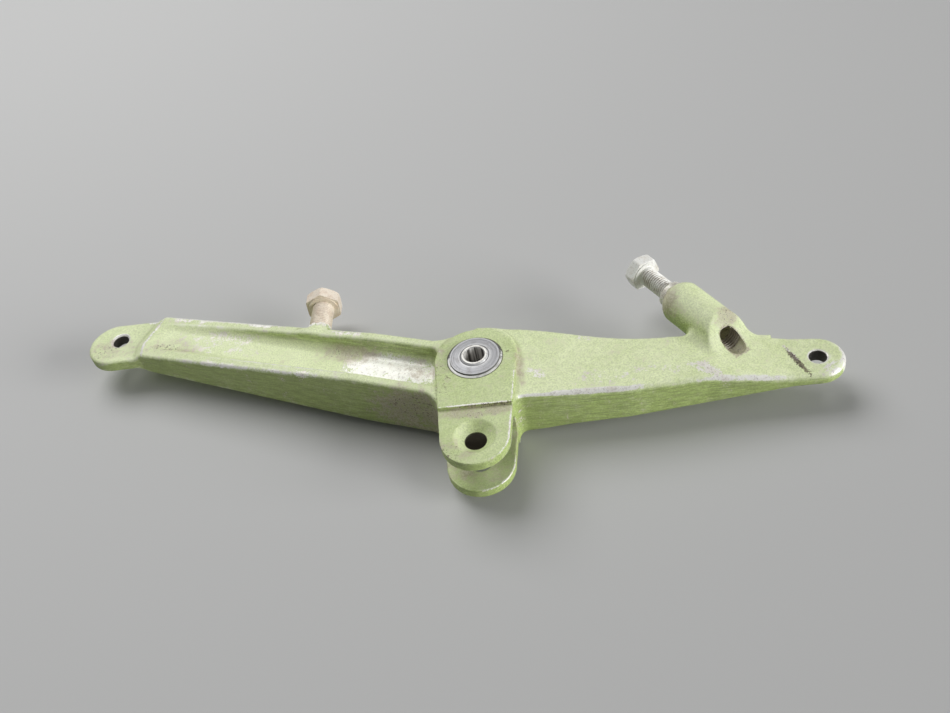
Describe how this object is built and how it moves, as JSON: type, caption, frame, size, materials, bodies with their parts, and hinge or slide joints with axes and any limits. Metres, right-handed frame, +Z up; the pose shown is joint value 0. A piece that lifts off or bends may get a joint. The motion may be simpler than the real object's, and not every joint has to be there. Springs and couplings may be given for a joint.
{
  "type": "aircraft bellcrank",
  "caption": "Forged control lever with a long channelled arm, a shorter solid arm and a clevis round a ball-bearing pivot, and a screwed stop bolt on each arm.",
  "frame": {"origin": "on the pivot axis at the mid-plane of the forging, halfway between the two bearings", "axes": "+Z up along the pivot axis to the countersunk side of the clevis, +X along the short solid arm, +Y to the side of the stop bolts, so the clevis points to -Y and the long arm to -X"},
  "size_m": [0.3133, 0.109, 0.0303],
  "materials": {
    "primed_forging": "pale yellow-green zinc chromate primer over forged aluminium, worn bright on the edges",
    "bearing_steel": "satin turned steel",
    "ball_steel": "polished bearing steel",
    "cadmium_bolt": "dull off-white cadmium plate",
    "tan_bolt": "tan overspray on a plated bolt"
  },
  "bodies": {
    "crank": {"crank_body": "primed_forging", "upper_bearing_outer_ring": "bearing_steel", "upper_bearing_top_shield": "bearing_steel", "upper_bearing_bottom_shield": "bearing_steel", "lower_bearing_outer_ring": "bearing_steel", "lower_bearing_top_shield": "bearing_steel", "lower_bearing_bottom_shield": "bearing_steel"},
    "pivot_core": {"bearing_spacer": "bearing_steel", "upper_bearing_inner_ring": "bearing_steel", "lower_bearing_inner_ring": "bearing_steel"},
    "ball_sets": {"upper_bearing_balls": "ball_steel", "lower_bearing_balls": "ball_steel"},
    "left_bolt": {"left_stop_bolt": "tan_bolt"},
    "right_bolt": {"right_stop_bolt": "cadmium_bolt"}
  },
  "joints": [
    {"name": "pivot_turn", "type": "hinge", "parent": "crank", "child": "pivot_core", "pos_m": [0, 0, 0], "axis": [0, 0, 1], "continuous": true},
    {"name": "ball_roll", "type": "hinge", "parent": "crank", "child": "ball_sets", "pos_m": [0, 0, 0], "axis": [0, 0, 1], "continuous": true},
    {"name": "left_stop_adjust", "type": "slide", "parent": "crank", "child": "left_bolt", "axis": [-0.0017, 1, 0], "range_m": [-0.0015, 0.005]},
    {"name": "right_stop_adjust", "type": "slide", "parent": "crank", "child": "right_bolt", "axis": [-0.5446, 0.8387, 0], "range_m": [-0.01, 0.008]}
  ],
  "couplings": [
    {"joint": "ball_roll", "follows": "pivot_turn", "ratio": 0.39052}
  ]
}
